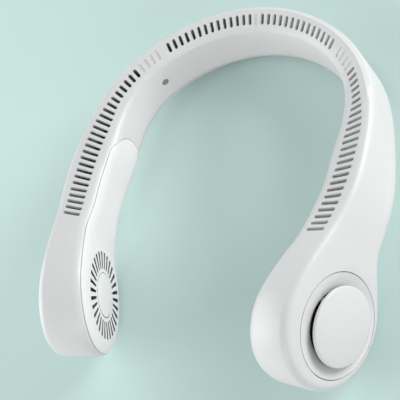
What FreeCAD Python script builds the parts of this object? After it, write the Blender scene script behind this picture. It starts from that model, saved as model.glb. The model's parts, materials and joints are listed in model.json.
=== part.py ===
import FreeCAD, Part
import math
import os
from FreeCAD import Matrix, Placement, Rotation, Vector

# Electric neck fan. Millimetres. The right half is drawn first and then mirrored.
# While drawing, X is sideways, Y points to the back of the neck and Z up to the air outlets.
# At the end the whole fan is tipped about X so that it lies level on band and paddles.

# Air outlets: a row of slots along the band and the arms, counted from the middle of the band
vent_pitch = 3.75
vent_width = 1.9
vent_length_band = 5.8
vent_length_arm = 10.0
vent_cut = 3.6
vent_blind_depth = 0.45
vent_above = 3.0
vent_skew = 12.0
vents_band = range(1, 15)
vents_blind = range(16, 20)
vents_arm = range(20, 45)
vent_grow_from = 24
vent_grow_to = 30

# Line of the outlets seen from above: arcs (radius, turn in degrees) from the middle of the band
outlet_line = [(78.0, 42.0), (64.0, 40.0), (170.0, 15.0)]

# Band section at the back of the neck; it grows into the arm section between the two lengths
band_face_outer = 9.0
band_face_inner = 6.5
band_face_tilt = 32.0
band_bottom = -28.6
band_outer_lean = 3.0
band_inner_lean = 0.0
band_round_outer = 4.0
band_round_inner = 2.6
band_round_bottom = 4.5
widen_from = 72.0
widen_to = 128.0
twist_from = 30.0
deepen_from = 90.0

# Paddle, drawn in its own frame: a runs up the arm, b to the outlets, n outwards from the fan axis
paddle_toe = 10.5
paddle_tilt = 12.5
paddle_thickness = 24.0
paddle_wedge = 6.7
head_radius = 32.5
head_rise = 3.0
head_reach = 24.0
head_rear_angle = 36.0
head_overlap = 5.0
round_outer = 4.0
round_inner = 6.5

# Arm section where the arm meets the band
arm_reach = 51.0
arm_thickness = 22.5
arm_front = 29.8
arm_rear = -4.2
arm_rear_drop = 4.0
arm_rear_slope = 4.0
arm_face_outer = 10.4
arm_round_inner = 6.5
front_pull = 22.0
rear_pull = 14.0

# Mouldings
wall = 2.0
round_facets = 3
surface_spans = 8
cavity_spans = 16
seam = 0.3
lid_depth = 2.4
lid_reach = 86.0
lid_end_radius = 15.0
lid_end_middle = 14.0
base_depth = 4.0
base_reach = -58.0
floor_level = -13.0
floor_thickness = 1.4
floor_gap = 0.1
floor_reach = -95.0

# Air intake on the outer face
ring_radius = 25.3
ring_gap = 0.15
ring_throat = 16.6
ring_drop = 4.9
ring_slope = 0.5
ring_roll = 4.9
ring_plate = 1.6
ring_lip = 0.9
spoke_count = 3
spoke_width = 4.0
spoke_height = 1.4
spoke_bite = 1.2
spoke_turn = 60.0
hub_radius = 7.5
dome_radius = 19.1
dome_rim = 3.2
dome_edge = 1.2
dome_rise = 2.4
dome_wall = 1.4
dome_lip = 1.6
dome_post_radius = 1.7
dome_post_circle = 12.6

# Grille on the neck side
grille_count = 30
grille_rise = 1.9
grille_inner = 14.0
grille_outer = 23.0
grille_slot_in = 1.3
grille_slot_out = 2.2
cap_radius = 11.7
cap_gap = 0.25
cap_recess = 0.8
cap_thickness = 1.0

# Motor and impeller, levels measured inwards from the outer face
shaft_radius = 1.0
bush_radius = 2.5
post_radius = 3.4
post_end = 14.4
stator_radius = 8.0
stator_start = 9.0
stator_end = 13.6
stator_teeth = 9
stator_slot = 1.2
stator_core = 4.8
can_radius = 10.0
can_wall = 0.9
can_start = 8.0
can_end = 16.2
fan_radius = 22.8
fan_eye = 15.6
fan_start = 7.2
fan_blades = 24
fan_blade = 1.0
fan_blade_sweep = 26.0
fan_web = 1.2
fan_hub_wall = 1.4
fan_hub_height = 5.0

# Electronics on the under edge of the right arm; offsets run up the arm from the middle
socket_place = 43.0
board_length = 24.0
board_depth = 12.0
board_thickness = 1.2
board_gap = 2.4
ledge_offset = -9.0
ledge_width = 2.4
ledge_height = 9.0
usb_width = 8.9
usb_height = 3.2
usb_length = 7.4
usb_offset = -6.0
usb_clearance = 0.3
usb_recess = 0.6
usb_wall = 0.4
usb_tongue = 0.7
usb_tongue_set = 1.0
button_offset = 6.5
button_radius = 3.0
button_clearance = 0.2
button_proud = 0.7
button_flange = 0.9
button_flange_gap = 0.5
button_travel = 0.5
switch_width = 6.0
switch_length = 3.4
switch_plunger = 0.9
switch_plunger_radius = 1.2
switch_gap = 0.1
lens_offset = 0.6
lens_radius = 0.8
lens_length = 3.0
fit = 0.03

# Cells and ribbon lead in the lower bay
cell_start = 100.0
cell_length = 36.0
cell_thickness = 10.5
cell_height = 11.2
cell_out = 0.5
ribbon_width = 4.0
ribbon_thickness = 0.8
ribbon_out = 1.0
ribbon_gap = 0.5

# Plugs over the housing screws on the neck side of the band
plug_place = 66.0
plug_drop = 14.0
plug_radius = 2.0
plug_depth = 1.0
plug_sink = 0.3

big = 400.0
reach = 80.0
zero = Vector(0, 0, 0)
x_axis = Vector(1, 0, 0)
y_axis = Vector(0, 1, 0)
z_axis = Vector(0, 0, 1)


def unit(v):
    return Vector(v).normalize()


def blend(u):
    u = min(max(u, 0.0), 1.0)
    return u * u * (3.0 - 2.0 * u)


def mix(p, q, u):
    return p + (q - p) * blend(u)


def mix_line(p, q, u):
    return p + (q - p) * u


def tan_deg(angle):
    return math.tan(math.radians(angle))


def cos_deg(angle):
    return math.cos(math.radians(angle))


def sin_deg(angle):
    return math.sin(math.radians(angle))


def frame(origin, u, v, w):
    return Matrix(u.x, v.x, w.x, origin.x, u.y, v.y, w.y, origin.y, u.z, v.z, w.z, origin.z, 0, 0, 0, 1)


def moved(shape, matrix):
    copy = shape.copy()
    copy.transformShape(matrix, True)
    return copy


def mirrored(shape):
    return shape.mirror(zero, x_axis)


def joined(shapes):
    return shapes[0].fuse(shapes[1:]).removeSplitter()


def prism(points, height):
    closed = points + points[:1]
    return Part.Face(Part.makePolygon(closed)).extrude(Vector(0, 0, height))


def turned(profile):
    points = [Vector(r, 0, n) for r, n in profile]
    face = Part.Face(Part.makePolygon(points + points[:1]))
    return face.revolve(zero, z_axis, 360)


def stadium(length, width, depth):
    half = (length - width) / 2
    r = width / 2
    edges = [Part.LineSegment(Vector(-half, -r, 0), Vector(half, -r, 0)).toShape(),
             Part.Arc(Vector(half, -r, 0), Vector(half + r, 0, 0), Vector(half, r, 0)).toShape(),
             Part.LineSegment(Vector(half, r, 0), Vector(-half, r, 0)).toShape(),
             Part.Arc(Vector(-half, r, 0), Vector(-half - r, 0, 0), Vector(-half, -r, 0)).toShape()]
    return Part.Face(Part.Wire(edges)).extrude(Vector(0, 0, depth))


def cylinder(radius, start, end, x=0.0, y=0.0):
    return Part.makeCylinder(radius, end - start, Vector(x, y, start))


def box(x, y, z):
    return Part.makeBox(x[1] - x[0], y[1] - y[0], z[1] - z[0], Vector(x[0], y[0], z[0]))


def around(shape, count):
    copies = []
    for i in range(count):
        copy = shape.copy()
        copy.rotate(zero, z_axis, 360.0 * i / count)
        copies.append(copy)
    return copies


# Outlet line: point, outward direction and travel direction at a length from the middle
def outlet(length):
    left = abs(length)
    point = Vector(0, 0, 0)
    turn = 0.0
    for radius, degrees in outlet_line:
        out = Vector(math.sin(turn), math.cos(turn), 0)
        step = min(left, radius * math.radians(degrees))
        centre = point - out * radius
        turn += step / radius
        out = Vector(math.sin(turn), math.cos(turn), 0)
        point = centre + out * radius
        left -= step
    along = Vector(math.cos(turn), -math.sin(turn), 0)
    if length < 0.0:
        return [Vector(-v.x, v.y, v.z) for v in (point, out, along)]
    return [point, out, along]


arm_length = sum(r * math.radians(d) for r, d in outlet_line)

# Frame of the right paddle, hung on the end of the outlet line
dir_n = Vector(cos_deg(paddle_tilt) * cos_deg(paddle_toe), -cos_deg(paddle_tilt) * sin_deg(paddle_toe),
               sin_deg(paddle_tilt))
dir_a = Vector(sin_deg(paddle_toe), cos_deg(paddle_toe), 0)
dir_b = dir_n.cross(dir_a)


def up_the_arm(a):
    return (a - head_reach) / (arm_reach - head_reach)


def thickness(a):
    taper = paddle_thickness - min(a, head_reach) * tan_deg(paddle_wedge)
    return mix(taper, arm_thickness, up_the_arm(a))


arm_face_inner = arm_thickness - arm_face_outer
arm_middle = dir_a * arm_reach + dir_b * arm_front - dir_n * arm_face_outer
paddle_origin = outlet(arm_length)[0] - arm_middle
paddle = frame(paddle_origin, dir_a, dir_b, dir_n)

# Paddle outline: round head, S-shaped front edge and rear edge, both running into the arm
head_middle = Vector(0, head_rise, 0)
head_top = head_middle + Vector(0, head_radius, 0)
head_tip = head_middle - Vector(head_radius, 0, 0)
rear_start = Vector(cos_deg(head_rear_angle), sin_deg(head_rear_angle), 0)
rear_end = Vector(cos_deg(arm_rear_slope), sin_deg(arm_rear_slope), 0)
head_leave = head_middle + Vector(rear_start.y, -rear_start.x, 0) * head_radius
arm_high = Vector(arm_reach, arm_front, 0)
arm_low = Vector(arm_reach, arm_rear, 0)
front_curve = Part.BezierCurve()
front_curve.setPoles([head_top, head_top + x_axis * front_pull, arm_high - x_axis * front_pull, arm_high])
rear_curve = Part.BezierCurve()
rear_curve.setPoles([head_leave, head_leave + rear_start * rear_pull,
                     arm_low - rear_end * rear_pull, arm_low])


# Skins of the fan: inset from the outer surface, share of the full rounding, steps in a round
surface = {"inset": 0.0, "share": 1.0, "steps": round_facets, "spans": surface_spans, "ruled": False}
cavity = {"inset": wall, "share": 0.5, "steps": 1, "spans": cavity_spans, "ruled": True}
floor_skin = {"inset": wall + floor_gap, "share": 0.5, "steps": 1, "spans": cavity_spans, "ruled": True}


# Outline of the paddle at an inset, always in the same order: front edge, arm end, rear edge, head
def shifted(points, first, last):
    return [points[0] + first, points[1] + first, points[2] + last, points[3] + last]


def bezier(poles):
    curve = Part.BezierCurve()
    curve.setPoles(poles)
    return curve.toShape()


def outline(inset):
    front = shifted(front_curve.getPoles(), y_axis * -inset, y_axis * -inset)
    rear_first = Vector(-rear_start.y, rear_start.x, 0) * inset
    rear_last = Vector(-rear_end.y, rear_end.x, 0) * inset
    rear = shifted(rear_curve.getPoles(), rear_first, rear_last)
    tip = head_tip + x_axis * inset
    edges = [bezier(front),
             Part.LineSegment(front[3], rear[3]).toShape(),
             bezier(rear[::-1]),
             Part.Arc(rear[0], tip, front[0]).toShape()]
    return Part.Wire(edges)


def slab_a(low, high):
    return Part.makeBox(high - low, 2 * reach, 2 * reach, Vector(low, -reach, -reach))


def beyond_inner_face(offset):
    layer = box((-big, big), (-big, big), (-big, 0.0))
    layer.rotate(zero, y_axis, -paddle_wedge)
    layer.translate(Vector(0, 0, offset / cos_deg(paddle_wedge) - paddle_thickness))
    return layer


def round_steps(skin):
    return [90.0 * i / skin["steps"] for i in range(skin["steps"] + 1)]


def onto_inner_face(wire, depth):
    slope = tan_deg(paddle_wedge)
    lean = Matrix(1, 0, 0, 0, 0, 1, 0, 0, slope, 0, 1, depth - paddle_thickness, 0, 0, 0, 1)
    return wire.transformGeometry(lean)


def paddle_block(skin):
    inset = skin["inset"]
    outer = skin["share"] * (round_outer - inset)
    inner = skin["share"] * (round_inner - inset)
    wires = []
    for step in round_steps(skin):
        ring = outline(inset + outer * (1 - sin_deg(step)))
        ring.translate(Vector(0, 0, -inset - outer * (1 - cos_deg(step))))
        wires.append(ring)
    for step in round_steps(skin)[::-1]:
        ring = outline(inset + inner * (1 - sin_deg(step)))
        lift = inset / cos_deg(paddle_wedge)
        wires.append(onto_inner_face(ring, lift + inner * (1 - cos_deg(step))))
    return Part.makeLoft(wires, True, True)


# Four-sided section with rounded corners. Corners run outer top, inner top, inner bottom, outer bottom.
def corner_round(corner, before, after, radius, stretches, skin):
    u = unit(before - corner)
    v = unit(after - corner)
    setback = skin["share"] * radius / math.tan(u.getAngle(v) / 2)
    p = u * (setback * stretches[0])
    q = v * (setback * stretches[1])
    return [corner + p * (1 - sin_deg(s)) + q * (1 - cos_deg(s)) for s in round_steps(skin)]


def section_wire(corners, radii, stretch, skin):
    points = []
    for i in range(4):
        stretches = (stretch[i], 1.0) if i in (0, 2) else (1.0, stretch[i])
        after = corners[(i + 1) % 4]
        points += corner_round(corners[i], corners[i - 1], after, radii[i], stretches, skin)
    return Part.makePolygon(points + points[:1])


def meet(p, u, q, v):
    cross = u.x * v.y - u.y * v.x
    t = ((q.x - p.x) * v.y - (q.y - p.y) * v.x) / cross
    return p + u * t


def inset_corners(corners, inset):
    sides = []
    for i in range(4):
        start = corners[i]
        along = unit(corners[(i + 1) % 4] - start)
        inward = Vector(-along.y, along.x, 0)
        sides.append((start + inward * inset, along))
    return [meet(*sides[i - 1], *sides[i]) for i in range(4)]


# Band and arm section at a length along the outlet line: corners out from the line and up
def face_tilt(length):
    return mix(band_face_tilt, paddle_tilt, (length - twist_from) / (arm_length - twist_from))


def band_corners(length):
    grown = (length - deepen_from) / (arm_length - deepen_from)
    widened = (length - widen_from) / (widen_to - widen_from)
    across_face = Vector(cos_deg(face_tilt(length)), sin_deg(face_tilt(length)), 0)
    outer_top = across_face * mix(band_face_outer, arm_face_outer, widened)
    inner_top = across_face * -mix(band_face_inner, arm_face_inner, widened)
    drop = (arm_rear - arm_front) * cos_deg(paddle_tilt)
    outer_low = mix(band_bottom, drop + arm_face_outer * sin_deg(paddle_tilt), grown)
    drop -= arm_rear_drop * cos_deg(paddle_tilt)
    inner_low = mix(band_bottom, drop - arm_face_inner * sin_deg(paddle_tilt), grown)
    outer_lean = tan_deg(mix(band_outer_lean, paddle_tilt, grown))
    inner_lean = tan_deg(mix(band_inner_lean, paddle_tilt, grown))
    outer_bottom = Vector(outer_top.x + (outer_top.y - outer_low) * outer_lean, outer_low, 0)
    inner_bottom = Vector(inner_top.x + (inner_top.y - inner_low) * inner_lean, inner_low, 0)
    return [outer_top, inner_top, inner_bottom, outer_bottom]


def band_radii(length):
    grown = (length - widen_from) / (widen_to - widen_from)
    outer = mix(band_round_outer, round_outer, grown)
    inner = mix(band_round_inner, arm_round_inner, grown)
    return [outer, inner, mix(band_round_bottom, arm_round_inner, grown), round_outer]


def in_space(corners, length):
    point, out, along = outlet(length)
    return [point + out * c.x + z_axis * c.y for c in corners]


def curve_at(curve, a):
    low = 0.0
    high = 1.0
    for step in range(40):
        middle = (low + high) / 2
        if curve.value(middle).x < a:
            low = middle
        else:
            high = middle
    slope = curve.tangent(low)[0]
    return curve.value(low), unit(slope)


def arm_corners(a, inset):
    front, front_way = curve_at(front_curve, a)
    rear, rear_way = curve_at(rear_curve, a)
    high = front.y - inset / front_way.x
    low = rear.y + inset / rear_way.x
    lower = low - mix(0.0, arm_rear_drop, up_the_arm(a))
    deep = inset / cos_deg(paddle_wedge) - thickness(a)
    corners = [Vector(a, high, -inset), Vector(a, high, deep), Vector(a, lower, deep), Vector(a, low, -inset)]
    stretch = [1 / front_way.x, 1 / front_way.x, 1 / rear_way.x, 1 / rear_way.x]
    return [paddle.multVec(c) for c in corners], stretch


def across(points):
    return [Vector(-p.x, p.y, p.z) for p in points]


# Lengths along the band, then places up the arm and into the head, where the section is drawn
def band_stops(spans):
    return [arm_length * i / float(spans) for i in range(spans)]


def arm_stops():
    joining = [mix_line(arm_reach, head_reach, i / 3.0) for i in range(4)]
    return joining + [head_reach - head_overlap, head_reach - 2 * head_overlap]


def inner_round(a):
    return mix(round_inner, arm_round_inner, up_the_arm(a))


def band_loft(skin):
    inset = skin["inset"]
    right = []
    for length in band_stops(skin["spans"]):
        corners = in_space(inset_corners(band_corners(length), inset), length)
        right.append((corners, [r - inset for r in band_radii(length)], [1.0] * 4))
    for a in arm_stops():
        corners, stretch = arm_corners(a, inset)
        inner = inner_round(a) - inset
        right.append((corners, [round_outer - inset, inner, inner, round_outer - inset], stretch))
    left = [(across(corners), radii, stretch) for corners, radii, stretch in right[:0:-1]]
    loft = Part.makeLoft([section_wire(*s, skin) for s in left + right], True, skin["ruled"])
    end = moved(slab_a(-reach, head_reach), paddle)
    return loft.cut(end).cut(mirrored(end))


def fan_body(skin):
    head = moved(paddle_block(skin).common(slab_a(-reach, head_reach)), paddle)
    return band_loft(skin).fuse([head, mirrored(head)], 0.02)


# Neck-side lid: the layer next to the neck, from the tip of the paddle to a rounded end on the arm
def lid_layer(depth):
    wires = []
    for length in band_stops(surface["spans"]):
        if length > 0.5 * arm_length:
            corners = band_corners(length)
            down = unit(corners[2] - corners[1])
            out = Vector(-down.y, down.x, 0)
            wires.append(in_space(layer_corners(corners, down, out, depth), length))
    for a in arm_stops():
        corners, stretch = arm_corners(a, 0.0)
        down = unit(corners[2] - corners[1])
        out = unit(corners[0] - corners[1])
        wires.append(layer_corners(corners, down, out, depth))
    loft = Part.makeLoft([Part.makePolygon(w + w[:1]) for w in wires], True, False)
    loft = moved(loft, paddle.inverse()).common(slab_a(head_reach, 2 * reach))
    head = beyond_inner_face(depth).common(slab_a(-reach, head_reach))
    return loft.fuse(head, 0.02)


def layer_corners(corners, down, out, depth):
    over = 8.0
    far = 12.0
    high = corners[1] + out * depth - down * over
    low = corners[2] + out * depth + down * over
    return [high, high - out * far, low - out * far, low]


def lid_window(gap):
    middle = Vector(lid_reach - lid_end_radius, lid_end_middle, -reach)
    round_end = Part.makeCylinder(lid_end_radius - gap, 2 * reach, middle)
    return slab_a(-reach, middle.x).fuse(round_end)


def lid_space(depth, gap):
    return moved(lid_layer(depth).common(lid_window(gap)), paddle)


def base_space(depth, gap):
    return Part.makeBox(2 * big, big, big, Vector(-big, base_reach + gap, band_bottom + depth - big))


# Air outlets: cutters standing in the slot face
def vent_frame(index):
    length = index * vent_pitch
    if abs(length) <= arm_length:
        point, out, along = outlet(length)
        tilt = face_tilt(abs(length))
        cross = out * cos_deg(tilt) + z_axis * sin_deg(tilt)
        return point, cross, along
    curve = front_curve.toShape()
    parameter = curve.getParameterByLength(curve.Length - (abs(length) - arm_length))
    place = curve.valueAt(parameter)
    way = curve.tangentAt(parameter) * -1
    middle = (thickness(place.x) + round_outer - inner_round(place.x)) / 2
    point = paddle.multVec(place - z_axis * middle)
    along = paddle.submatrix(3).multVec(way)
    return [point, dir_n, along]


def slot(length, width, depth):
    clip = width / 3
    x = length / 2
    y = width / 2
    points = [(x - clip, -y), (x, clip - y), (x, y - clip), (x - clip, y),
              (clip - x, y), (-x, y - clip), (-x, clip - y), (clip - x, -y)]
    return prism([Vector(*p, 0) for p in points], depth)


def vent(index, below, above):
    point, cross, along = vent_frame(index)
    up = along.cross(cross)
    if up.z < 0.0:
        up = up * -1
    grown = (abs(index) - vent_grow_from) / float(vent_grow_to - vent_grow_from)
    length = mix(vent_length_band, vent_length_arm, grown)
    skew = vent_skew * abs(index) / vents_arm[-1]
    cross = cross * cos_deg(skew) - along * sin_deg(skew)
    cutter = slot(length, vent_width, below + above)
    return moved(cutter, frame(point - up * below, cross, up.cross(cross), up))


def vent_row(indices, below):
    row = [vent(i, below, vent_above) for i in indices]
    return row + [mirrored(cutter) for cutter in row]


# Pieces of the right paddle, in its own frame
def on_spokes(shape):
    first = shape.copy()
    first.rotate(zero, z_axis, spoke_turn)
    return around(first, spoke_count)


# Height of the rolled lip that leads the air into the throat, and its distance from the throat, at a step
def lip_point(step):
    inward = ring_throat + ring_roll * (1 - sin_deg(step))
    return inward, -ring_slope - (ring_drop - ring_slope) * (1 - cos_deg(step))


def intake_ring():
    flange = ring_radius + ring_lip
    bottom = -ring_drop - ring_plate
    lip = [lip_point(step) for step in round_steps(surface)]
    ring = turned([(ring_radius, 0.0)] + lip + [(ring_throat, bottom), (ring_throat + ring_plate, bottom),
                  (flange - ring_roll, -wall - ring_plate), (flange, -wall - ring_plate), (flange, -wall),
                  (ring_radius, -wall)])
    top = -ring_drop
    half = spoke_width / 2
    spoke = box((0.0, ring_throat + spoke_bite), (-half, half), (top - spoke_height, top))
    hub = cylinder(hub_radius, top - spoke_height, top)
    post = cylinder(post_radius, -post_end, top)
    bore = cylinder(bush_radius + fit, -post_end, top - spoke_height)
    return joined([ring, hub, post] + on_spokes(spoke)).cut(bore)


def dome_cap():
    low = dome_rim - dome_lip
    edge = dome_radius - dome_edge
    rise = dome_rise - dome_edge / 2
    bend = (edge * edge + rise * rise) / (2 * rise)
    rim_top = dome_rim + dome_edge / 2
    body = turned([(0.0, low), (dome_radius, low), (dome_radius, dome_rim), (edge, rim_top),
                   (edge, rim_top + dome_rise), (0.0, rim_top + dome_rise)])
    ball = Part.makeSphere(bend, zero, x_axis)
    ball.translate(Vector(0, 0, dome_rim + dome_rise - bend))
    under = cylinder(dome_radius - dome_wall, low, dome_rim)
    cap = body.common(ball).cut(under)
    post = cylinder(dome_post_radius, -ring_drop, dome_rim + fit, dome_post_circle)
    return joined([cap] + on_spokes(post))


def bearing():
    start = -post_end
    end = -ring_drop - spoke_height
    return cylinder(bush_radius, start, end).cut(cylinder(shaft_radius + fit, start, end))


def stator():
    ring = cylinder(stator_radius, -stator_end, -stator_start)
    half = stator_slot / 2
    gap = box((stator_core, 2 * stator_radius), (-half, half), (-stator_end, -stator_start))
    bore = cylinder(post_radius + fit, -stator_end, -stator_start)
    return ring.cut([bore] + around(gap, stator_teeth))


def shaft():
    return cylinder(shaft_radius, can_wall - can_end, -ring_drop - spoke_height - fit)


def rotor():
    can = cylinder(can_radius, -can_end, -can_start)
    return can.cut(cylinder(can_radius - can_wall, can_wall - can_end, -can_start))


def impeller():
    hub_in = can_radius + fit
    hub_out = hub_in + fan_hub_wall
    web = cylinder(fan_radius, -can_end - fan_web, -can_end)
    hub = cylinder(hub_out, -can_end, fan_hub_height - can_end).cut(cylinder(hub_in, -can_end, -can_start))
    length = (fan_radius - fan_eye) / cos_deg(fan_blade_sweep)
    blade = box((0.0, length), (-fan_blade / 2, fan_blade / 2), (-can_end - fan_web / 2, -fan_start))
    blade.rotate(zero, z_axis, fan_blade_sweep)
    blade.translate(Vector(fan_eye, 0, 0))
    rim = cylinder(fan_radius, -can_end - fan_web, -fan_start)
    blades = [b.common(rim) for b in around(blade, fan_blades)]
    return joined([web, hub] + blades)


def grille_frame():
    slope = Vector(cos_deg(paddle_wedge), 0, sin_deg(paddle_wedge))
    normal = Vector(sin_deg(paddle_wedge), 0, -cos_deg(paddle_wedge))
    return frame(Vector(0, grille_rise, -paddle_thickness), slope, normal.cross(slope), normal)


def grille_cuts():
    narrow = grille_slot_in / 2
    broad = grille_slot_out / 2
    corners = [(grille_inner, -narrow), (grille_outer, -broad), (grille_outer, broad), (grille_inner, narrow)]
    slots = around(prism([Vector(x, y, -2 * wall) for x, y in corners], 3 * wall), grille_count)
    recess = cylinder(cap_radius + cap_gap, -cap_recess, wall)
    return [moved(cut, grille_frame()) for cut in slots + [recess]]


def grille_cap():
    return moved(cylinder(cap_radius, -cap_recess, cap_thickness - cap_recess), grille_frame())


# Electronics: x up the arm, y outwards, z out of the under edge
def edge_frame():
    corners, stretch = arm_corners(socket_place, 0.0)
    rear, way = curve_at(rear_curve, socket_place)
    out = unit(corners[3] - corners[2])
    along = paddle.submatrix(3).multVec(way)
    down = unit(along.cross(out))
    if down.z > 0.0:
        down = down * -1
    return frame((corners[2] + corners[3]) * 0.5, out.cross(down), out, down)


# How far the under edge bulges past its tangent at a distance along it
def edge_bulge(distance):
    rear, way = curve_at(rear_curve, socket_place)
    there = curve_at(rear_curve, socket_place + distance * way.x)[0]
    return (there - rear).dot(Vector(way.y, -way.x, 0))


board_face = -usb_height / 2
button_level = edge_bulge(button_offset)
inside_edge = button_level - wall - button_flange_gap
switch_top = inside_edge - button_flange - button_travel - switch_gap
board_edge = -wall - board_gap


def circuit_board():
    return box((-board_length / 2, board_length / 2), (board_face - board_thickness, board_face),
               (board_edge - board_depth, board_edge))


def usb_socket():
    shell = stadium(usb_width, usb_height, usb_length)
    pocket = stadium(usb_width - 2 * usb_wall, usb_height - 2 * usb_wall, usb_length)
    pocket.translate(Vector(0, 0, usb_wall))
    tongue = box((usb_height - usb_width / 2, usb_width / 2 - usb_height), (-usb_tongue / 2, usb_tongue / 2),
                 (0.0, usb_length - usb_tongue_set))
    socket = joined([shell.cut(pocket), tongue])
    socket.translate(Vector(usb_offset, 0, edge_bulge(usb_offset) - usb_recess - usb_length))
    return socket


def tact_switch():
    low = switch_top - switch_plunger - switch_length
    case = box((button_offset - switch_width / 2, button_offset + switch_width / 2),
               (board_face, -board_face), (low, switch_top - switch_plunger))
    plunger = cylinder(switch_plunger_radius, low + switch_length / 2, switch_top, button_offset)
    return joined([case, plunger])


def power_button():
    cap = cylinder(button_radius, inside_edge - button_flange, button_level + button_proud, button_offset)
    flange = cylinder(button_radius + button_flange, inside_edge - button_flange, inside_edge, button_offset)
    return joined([cap, flange])


def indicator_lens():
    top = edge_bulge(lens_offset)
    return cylinder(lens_radius, top - lens_length, top, lens_offset)


def edge_openings():
    port = stadium(usb_width + 2 * usb_clearance, usb_height + 2 * usb_clearance, 3 * wall)
    port.translate(Vector(usb_offset, 0, -2 * wall))
    button = cylinder(button_radius + button_clearance, -2 * wall, wall, button_offset)
    lens = cylinder(lens_radius + fit, -2 * wall, wall, lens_offset)
    return [moved(cut, edge_frame()) for cut in (port, button, lens)]


def board_ledges():
    back = board_face - board_thickness
    ledges = []
    for middle in (ledge_offset, lens_offset):
        ledge = box((middle - ledge_width / 2, middle + ledge_width / 2), (back - ledge_width, back),
                    (-wall - ledge_height, edge_bulge(middle) - wall / 2))
        ledges.append(moved(ledge, edge_frame()))
    return ledges


# Pieces in the lower bay and on the band
def bay_frame(length, out_shift, level):
    point, out, along = outlet(length)
    return frame(point + out * out_shift + z_axis * level, along, along.cross(z_axis * -1), z_axis)


def cell():
    half = cell_thickness / 2
    block = box((-cell_length / 2, cell_length / 2), (-half, half), (-cell_height, 0.0))
    place = bay_frame(cell_start + cell_length / 2, cell_out, floor_level - floor_thickness)
    return moved(block, place)


def ribbon_lead():
    end = cell_start - ribbon_gap
    path = []
    start = 0.0
    for radius, degrees in outlet_line:
        stop = min(start + radius * math.radians(degrees), end)
        if stop > start:
            spots = [outlet(s)[0] + outlet(s)[1] * ribbon_out for s in (start, (start + stop) / 2, stop)]
            path.append(Part.Arc(*spots).toShape())
            path.insert(0, Part.Arc(*across(spots[::-1])).toShape())
        start = stop
    top = floor_level - floor_thickness
    first = bay_frame(-end, ribbon_out, top)
    half = ribbon_width / 2
    low = -ribbon_thickness
    corners = [Vector(0, y, z) for y, z in ((-half, 0), (half, 0), (half, low), (-half, low))]
    section = Part.makePolygon([first.multVec(c) for c in corners + corners[:1]])
    line = Part.Wire(path)
    line.translate(z_axis * top)
    return line.makePipeShell([section], True, True)


def duct_floor():
    slab = box((-big, big), (floor_reach, big), (floor_level - floor_thickness, floor_level))
    return band_loft(floor_skin).common(slab)


def plug_frame():
    corners = band_corners(plug_place)
    share = (corners[1].y + plug_drop) / (corners[1].y - corners[2].y)
    face = mix_line(corners[1].x, corners[2].x, share)
    point, out, along = outlet(plug_place)
    return frame(point + out * face - z_axis * plug_drop, along, z_axis, out * -1)


def screw_plug():
    return moved(cylinder(plug_radius, -plug_depth, -plug_sink), plug_frame())


def plug_hole():
    return moved(cylinder(plug_radius + fit, -plug_depth, plug_depth), plug_frame())


# Mouldings
shell = fan_body(surface).cut(fan_body(cavity))


def both_sides(shape):
    return [shape, mirrored(shape)]


def main_housing():
    ring_hole = moved(cylinder(ring_radius + ring_gap, -2 * wall, wall), paddle)
    openings = both_sides(lid_space(lid_depth, 0.0)) + [base_space(base_depth, 0.0)]
    openings += both_sides(ring_hole) + both_sides(plug_hole()) + edge_openings()
    body = shell.cut(openings)
    body = body.cut(vent_row(list(vents_band) + list(vents_arm), vent_cut))
    body = body.cut(vent_row(vents_blind, vent_blind_depth) + [vent(0, vent_blind_depth, vent_above)])
    return body.fuse(board_ledges())


def inner_cover():
    lid = shell.common(lid_space(lid_depth - seam, seam))
    return lid.cut([moved(cut, paddle) for cut in grille_cuts()])


def band_base():
    return shell.common(base_space(base_depth - seam, seam))


# Resting place: tipped about X until band and paddles touch the table together
def lowest(points, angle, back):
    levels = [p.z * cos_deg(angle) + p.y * sin_deg(angle) for p in points if (p.y > base_reach) == back]
    return min(levels)


def resting_angle():
    points = shell.tessellate(0.5)[0]
    low = -30.0
    high = 10.0
    for step in range(30):
        angle = (low + high) / 2
        if lowest(points, angle, True) > lowest(points, angle, False):
            high = angle
        else:
            low = angle
    return angle


def resting_place():
    turn = Placement(zero, Rotation(x_axis, resting_angle()))
    points = [turn.multVec(p) for p in shell.tessellate(0.2)[0]]
    middle = (min(p.y for p in points) + max(p.y for p in points)) / 2
    shift = Vector(0, -middle, -min(p.z for p in points))
    return Placement(shift, Rotation(x_axis, resting_angle())).toMatrix()


rest = resting_place()
nodes = {"main_housing": main_housing(), "band_base": band_base(), "duct_floor": duct_floor(),
         "ribbon_lead": ribbon_lead()}
paddle_pieces = {"intake_ring": intake_ring, "dome_cap": dome_cap, "bearing": bearing, "stator": stator,
                 "shaft": shaft, "rotor": rotor, "impeller": impeller, "grille_cap": grille_cap}
edge_pieces = {"circuit_board": circuit_board, "usb_socket": usb_socket, "tact_switch": tact_switch,
               "power_button": power_button, "indicator_lens": indicator_lens}
paired = {name: moved(make(), paddle) for name, make in paddle_pieces.items()}
paired.update({"inner_cover": inner_cover(), "battery": cell(), "screw_plug": screw_plug()})
for name, piece in paired.items():
    nodes[name + "_right"] = piece
    nodes[name + "_left"] = mirrored(piece)
for name, make in edge_pieces.items():
    nodes[name] = moved(make(), edge_frame())

os.makedirs("parts", exist_ok=True)
for name, piece in nodes.items():
    moved(piece, rest).exportStep("parts/" + name + ".step")
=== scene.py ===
import json
import math

import bpy
from mathutils import Matrix, Vector


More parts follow.
